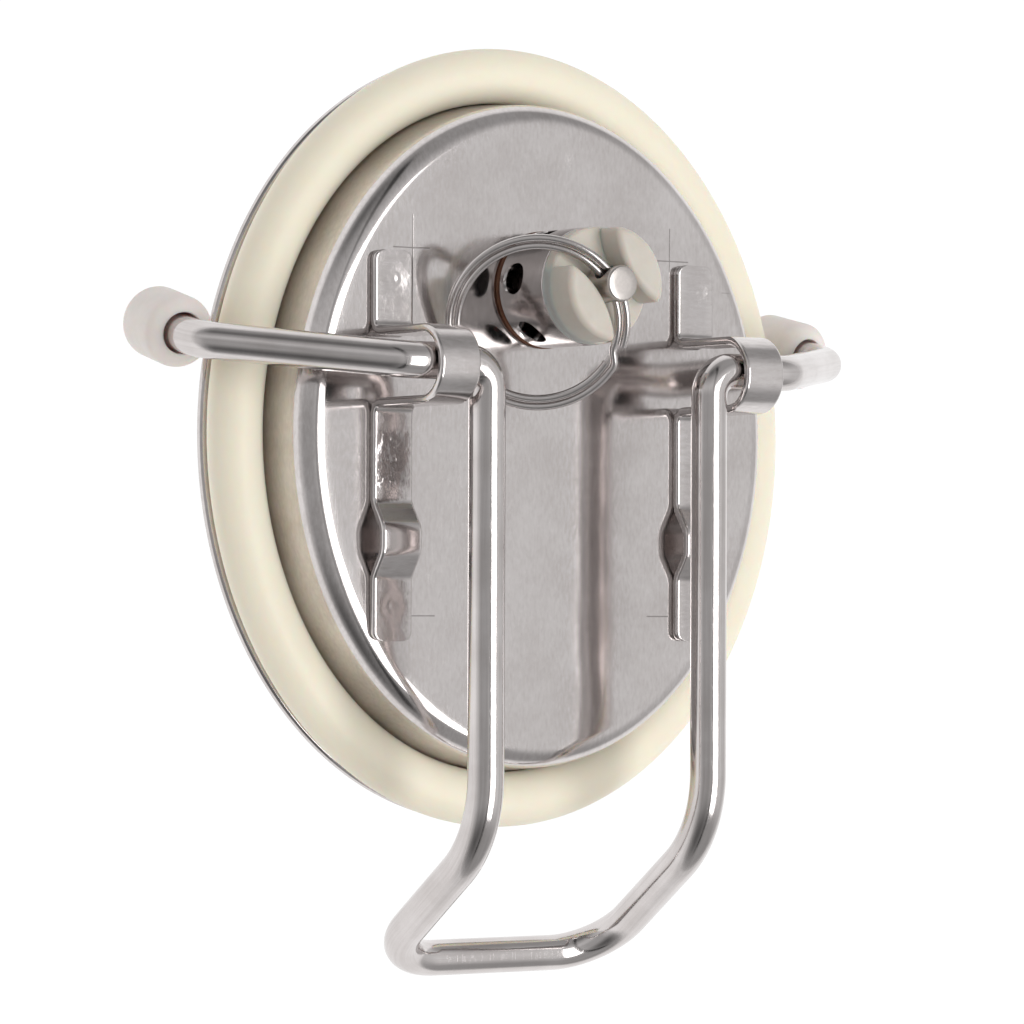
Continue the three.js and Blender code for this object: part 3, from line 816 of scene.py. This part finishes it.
def steel(name, roughness, grain, stretch, attribute=None, relief=None, marks_and_painted_shade=None, waves=0.0,
          light=STEEL_LIGHT, dark=STEEL_DARK):
    """Polished stainless with a drawn or rolled grain, hairline scratches and faint smears."""
    graph = material(name, Metallic=1.0)
    place = graph.coordinates(attribute)
    body = graph.coordinates()
    fine = graph.noise(place, scale=9.0, stretch=stretch, detail=4.0, roughness=0.65)
    streak = graph.noise(place, scale=2.2, stretch=stretch, detail=3.0, roughness=0.6)
    smear = graph.noise(body, scale=0.11, detail=4.0, roughness=0.6)
    hair = graph.noise(body, scale=1.4, stretch=(1.0, 0.12, 1.0), detail=2.0)
    hairline = 1 - abs(hair - 0.5).ramp(0.0, 0.012)
    height = fine * grain + streak * (2 * grain) - hairline * (1.2 * grain)
    if waves:
        height = height + graph.noise(body, scale=0.075, detail=1.0, roughness=0.4) * waves
    if relief:
        height = height + relief(graph, body)
    rough = roughness + (smear - 0.5) * 0.10 + (streak - 0.5) * 0.06 + hairline * 0.05
    tone = (smear * 0.7 + streak * 0.5).ramp(0.35, 0.85)
    base = graph.blend(tone, light, dark)
    # darkens the base towards the dark tone by the given mask: marks and weld tint, and painted shade
    # and dark reflection
    if marks_and_painted_shade:
        base = graph.blend(marks_and_painted_shade(graph, body), base, DARK_MARKS_AND_PAINTED_SHADE)
    graph.feed(graph.shader.inputs["Base Color"], base)
    graph.feed(graph.shader.inputs["Roughness"], rough.clamped())
    graph.feed(graph.shader.inputs["Normal"], graph.bump(height))
    return graph.material


def rubber(name, light, dark, roughness, texture, grain=0.004):
    """Moulded rubber: slight mottling, a fine matt skin and a little dust in its roughness."""
    graph = material(name, Specular_IOR_Level=0.4, Subsurface_Weight=0.3, Subsurface_Scale=0.002)
    place = graph.coordinates()
    cloud = graph.noise(place, scale=0.16, roughness=0.55)
    pores = graph.noise(place, scale=texture, roughness=0.6)
    dust = graph.noise(place, scale=0.7, detail=4.0, roughness=0.7)
    mottling = (cloud * 0.8 + dust * 0.4).ramp(0.35, 0.85)
    graph.feed(graph.shader.inputs["Base Color"], graph.blend(mottling, light, dark))
    graph.feed(graph.shader.inputs["Roughness"], (roughness + (dust - 0.5) * 0.15).clamped())
    graph.feed(graph.shader.inputs["Normal"], graph.bump(pores * grain + cloud * grain))
    return graph.material


def from_axis(graph, place, axis_x=0.0, axis_y=0.0):
    """Distance from an axis along Z."""
    x, y, _ = graph.split(place)
    return ((x - axis_x) * (x - axis_x) + (y - axis_y) * (y - axis_y)).root()


def on_outer_face(graph, place):
    """1 on the lid's flat face, and 0 on its wall and flange."""
    _, _, z = graph.split(place)
    return z.ramp(-0.4, -0.1)


def scribe(across, along, half_length, width=0.13):
    """1 along a scribed line: across is the distance from it, along the distance from its middle."""
    line = 1 - abs(across).ramp(width * 0.3, width)
    return line * (1 - abs(along).ramp(half_length - width, half_length + width))


def layout_marks(graph, place):
    """Crosses at the straps' valve ends and dashes beside them, on the outer face only."""
    cross_x = STRAP_X - STRAP_WIDTH / 2 - 0.55
    cross_y = STRAP_NEAR_Y + 0.5
    cross_arm = 2.9
    low_dash_x = 18.9
    low_dash_y = STRAP_FAR_Y + 3.3
    side_dash_x = 31.0
    side_dash_y = STRAP_NEAR_Y - 3.4
    x, y, _ = graph.split(place)
    out = abs(x)
    marks = scribe(out - cross_x, y - (cross_y + 1.5), cross_arm)
    marks = marks + scribe(y - cross_y, out - (cross_x + 0.2), cross_arm)
    marks = marks + scribe(y - low_dash_y, out - low_dash_x, 1.8)
    marks = marks + scribe(y - side_dash_y, out - side_dash_x, 1.5) * 0.4
    return marks.clamped() * on_outer_face(graph, place)


def crown_relief(graph, place):
    """The scribed marks, and one shallow soft spot above the valve."""
    mark_depth = 0.004
    spot_depth = 0.06
    spot = 1 - from_axis(graph, place, 2.7, 36.5).ramp(0.2, 2.6)
    dimple = spot * on_outer_face(graph, place)
    return dimple * -spot_depth - layout_marks(graph, place) * mark_depth


def scribe_mark_darkening(graph, place):
    """The scribed marks are darker than the polish round them."""
    return layout_marks(graph, place) * 0.5


def flat_of_strap(graph, place):
    """1 on a strap's flat pads and 0 up on its loop and arch."""
    _, _, z = graph.split(place)
    return 1 - z.ramp(STRAP_SHEET + 0.2, STRAP_SHEET + 0.7)


def crushed_pad(graph, place):
    """1 round the left strap's crushed weld."""
    x, y, _ = graph.split(place)
    return (1 - abs(y - CRUSHED_WELD).ramp(2.6, 4.0)) * x.ramp(0.0, -1.0)


def weld_relief(graph, place):
    """The pads' tops are slightly buckled round the spot welds, and more round the crushed one."""
    depth = 0.05 + crushed_pad(graph, place) * 0.18
    return graph.noise(place, scale=0.55) * depth * flat_of_strap(graph, place)


def pad_weld_tint_and_painted_reflection(graph, place):
    """The middles of the pads are darker than the loops, most of all round the crushed weld: partly weld
    tint, partly a painted dark reflection of the dished pads.
    """
    x, _, _ = graph.split(place)
    middle = 1 - abs(abs(x) - STRAP_X).ramp(1.2, 2.9)
    return middle * flat_of_strap(graph, place) * (0.14 + crushed_pad(graph, place) * 0.45)


def from_valve_axis(graph, place):
    return from_axis(graph, place, axis_y=VALVE_Y)


def turning_relief(graph, place):
    """Concentric turning marks on faces square to the valve's axis."""
    closeness = 24.0                   # radians of the marks' wave per millimetre
    depth = 0.0012
    return (from_valve_axis(graph, place) * closeness).sine() * depth


def barrel_bore_painted_shade(graph, place):
    """1 inside the valve body, where its bore is painted dark as shade, and 0 on its outside."""
    return from_valve_axis(graph, place).ramp(BODY_RADIUS - 0.2, BODY_RADIUS - 0.8)


crown_steel = steel("pressed_steel", roughness=0.12, grain=0.00014, stretch=(1.0, 0.35, 1.0),
                    relief=crown_relief, marks_and_painted_shade=scribe_mark_darkening, waves=0.10)
# the pads' middles get weld tint and a painted dark reflection
strap_steel = steel("strap_steel", roughness=0.15, grain=0.0004, stretch=(0.25, 1.0, 1.0),
                    relief=weld_relief, marks_and_painted_shade=pad_weld_tint_and_painted_reflection)
wire_steel = steel("wire_steel", roughness=0.13, grain=0.0010, stretch=(1.0, 1.0, 0.03),
                   attribute="drawn")
ring_steel = steel("ring_steel", roughness=0.20, grain=0.0014, stretch=(1.0, 1.0, 0.05),
                   attribute="drawn")
# the bore inside the valve body gets painted shade
barrel_steel = steel("barrel_steel", roughness=0.13, grain=0.00005, stretch=(0.08, 0.08, 1.0),
                     relief=turning_relief, marks_and_painted_shade=barrel_bore_painted_shade)
stem_steel = steel("stem_steel", roughness=0.30, grain=0.0006, stretch=(1.0, 1.0, 0.3),
                   relief=turning_relief, light=colour(200, 194, 190), dark=colour(182, 176, 172))
hidden_steel = steel("inner_steel", roughness=0.28, grain=0.0012, stretch=(1.0, 1.0, 0.3))

seal_rubber = rubber("seal_rubber", colour(248, 240, 220), colour(246, 238, 217),
                     roughness=0.48, texture=2.2, grain=0.002)
foot_rubber = rubber("foot_rubber", colour(238, 231, 226), colour(231, 223, 217),
                     roughness=0.55, texture=2.8)
cap_plastic = rubber("cap_plastic", colour(212, 206, 196), colour(204, 197, 185),
                     roughness=0.45, texture=3.2, grain=0.005)
gasket_rubber = rubber("gasket_rubber", colour(126, 82, 56), colour(104, 64, 42),
                       roughness=0.50, texture=2.4)
poppet_rubber = rubber("poppet_rubber", colour(46, 44, 42), colour(34, 33, 32),
                       roughness=0.60, texture=2.4)

# ---------------------------------------------------------------- pieces


def dress(made, finish, body, slot, *nodes):
    """Gives a piece its material and its body, and lets it stand for its CAD nodes."""
    made.data.materials.clear()
    made.data.materials.append(finish)
    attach(made, body)
    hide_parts(*nodes)
    return made


dress(make_shell(), crown_steel, "lid", "stainless", "lid_shell")
dress(make_seal(), seal_rubber, "lid", "seal_rubber", "lid_seal_ring")
dress(make_strap("left_strap", -1), strap_steel, "lid", "stainless", "left_bracket")
dress(make_strap("right_strap", 1), strap_steel, "lid", "stainless", "right_bracket")
dress(make_bail(), wire_steel, "bail", "stainless", "bail_lever")
dress(make_foot("left_shoe", -1), foot_rubber, "bail", "foot_rubber", "left_foot")
dress(make_foot("right_shoe", 1), foot_rubber, "bail", "foot_rubber", "right_foot")

collar = NECK_RADIUS + GAP
seat_top = NECK_BOTTOM + SEAT_THICKNESS
poppet_bottom = seat_top + POPPET_SEAL_THICKNESS + 2 * SEAT_GAP
on_stem = STEM_RADIUS + SEAT_GAP

bung = flat_ring("bung_collar", collar, BUNG_RADIUS, BUNG_BOTTOM, -SHEET - SEAT_GAP, 0.4)
gasket = flat_ring("gasket_band", collar, GASKET_RADIUS, 0.0, GASKET_THICKNESS - SEAT_GAP, 0.3)
disc = flat_ring("poppet_plate", on_stem, POPPET_RADIUS, poppet_bottom, poppet_bottom + POPPET_THICKNESS)
pad = flat_ring("poppet_pad", on_stem, POPPET_RADIUS, seat_top + SEAT_GAP, poppet_bottom - SEAT_GAP)
clip = flat_ring("retainer_clip", on_stem, RETAINER_RADIUS, seat_top - RETAINER_THICKNESS, seat_top)
washer = flat_ring("top_washer", STEM_BORE, WASHER_RADIUS, BODY_TOP - WASHER_THICKNESS, BODY_TOP)

dress(bung, hidden_steel, "lid", "stainless", "valve_bung")
dress(gasket, gasket_rubber, "lid", "gasket_rubber", "valve_gasket")
dress(make_body(), barrel_steel, "lid", "stainless", "valve_body")
dress(make_cap(), cap_plastic, "lid", "cap_plastic", "valve_cap")
dress(washer, hidden_steel, "lid", "stainless", "spring_washer")
dress(make_stem(), stem_steel, "stem", "stainless", "valve_stem")
dress(disc, hidden_steel, "stem", "stainless", "poppet_disc")
dress(pad, poppet_rubber, "stem", "poppet_rubber", "poppet_seal")
dress(clip, hidden_steel, "stem", "stainless", "stem_retainer")
dress(make_ring(), ring_steel, "ring", "spring_steel", "pull_ring")

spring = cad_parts["valve_spring"]
spring.data.materials.clear()
spring.data.materials.append(hidden_steel)

# ---------------------------------------------------------------- floor, light and camera


def make_floor():
    """A light table: evenly bright under the lid, with a dimmer surround."""
    reach = 3000.0
    clearance = 0.05
    bottom = cad_box[0][2] / MM - clearance
    corners = [(-reach, -reach, bottom), (reach, -reach, bottom),
               (reach, reach, bottom), (-reach, reach, bottom)]
    floor = piece("floor", (corners, [(0, 1, 2, 3)]))
    graph = material("floor_glass", Roughness=0.9, Specular_IOR_Level=0.1)
    place = graph.coordinates()
    surround = from_axis(graph, place).ramp(120.0, 260.0)
    fibre = graph.noise(place, scale=0.02, detail=2.0)
    glass = graph.blend(fibre, (0.06, 0.06, 0.06, 1), (0.04, 0.04, 0.04, 1))
    glow = graph.blend(surround, (1.0, 1.0, 1.0, 1), (0.74, 0.74, 0.74, 1))
    graph.feed(graph.shader.inputs["Base Color"], glass)
    graph.feed(graph.shader.inputs["Emission Color"], glow)
    graph.feed(graph.shader.inputs["Emission Strength"], 1.0)
    floor.data.materials.append(graph.material)


def softbox(name, direction, distance, width, height, power):
    """A rectangular light aimed at the lid, its height along Y, in metres and watts."""
    light = bpy.data.lights.new(name, "AREA")
    light.shape = "RECTANGLE"
    light.size = width
    light.size_y = height
    light.energy = power
    holder = bpy.data.objects.new(name, light)
    towards = Vector(direction).normalized()
    across = Vector((0, 1, 0)).cross(towards).normalized()
    turn = Matrix((across, towards.cross(across), towards)).transposed()
    holder.matrix_world = Matrix.Translation(towards * distance) @ turn.to_4x4()
    bpy.context.scene.collection.objects.link(holder)


def light_room():
    """A pale room that is dimmer on the camera's side, with a long softbox over the lid."""
    world = bpy.data.worlds.new("studio")
    world.use_nodes = True
    bpy.context.scene.world = world
    graph = Graph(world.node_tree)
    background = world.node_tree.nodes["Background"]
    node = graph.node("ShaderNodeTexCoord")
    # x, y and z of a direction out into the room, each from -1 to 1
    x, y, z = graph.split(Signal(graph, node.outputs["Generated"]))
    camera_side = x.ramp(0.10, -0.55) * z.ramp(0.0, 0.4)
    far_side = x.ramp(0.45, 0.65) * z.ramp(0.4, 0.7)
    flag = x.ramp(-0.26, -0.19) * x.ramp(-0.07, -0.13) * z.ramp(0.2, 0.5)
    ends = abs(y).ramp(0.25, 0.75) * z.ramp(-0.1, 0.15)
    above = y.ramp(0.0, 0.45) * camera_side * (1 - y.ramp(0.6, 0.85))
    level = 0.68 - camera_side * 0.26 - flag * 0.26 + far_side * 0.10 - ends * 0.30 + above * 0.25
    level = level.at_least(0.05)
    graph.feed(background.inputs["Color"], graph.join(level, level, level))
    graph.feed(background.inputs["Strength"], 1.0)
    softbox("top_softbox", direction=(0.216, -0.17, 0.96), distance=2.5, width=1.3, height=2.3,
            power=37.0)


def place_camera():
    """Looks down past the lid's left side from outside the keg, with the valve end up."""
    turn = math.radians(34.83)
    tip = math.radians(-1.14)
    roll = math.radians(-0.21)
    view = Matrix.Rotation(roll, 3, "Z") @ Matrix.Rotation(tip, 3, "X") @ Matrix.Rotation(turn, 3, "Y")
    origin = Vector((4.08, 10.07, -650.5)) * MM      # the lid's origin in the camera's own axes
    camera = bpy.data.cameras.new("camera")
    camera.lens = 173.4
    camera.sensor_width = 36.0
    camera.clip_start = 0.01
    camera.clip_end = 20.0
    holder = bpy.data.objects.new("camera", camera)
    back = view.transposed()
    holder.matrix_world = Matrix.Translation(back @ -origin) @ back.to_4x4()
    bpy.context.scene.collection.objects.link(holder)
    bpy.context.scene.camera = holder


make_floor()
light_room()
place_camera()
bpy.context.scene.view_settings.view_transform = "Standard"
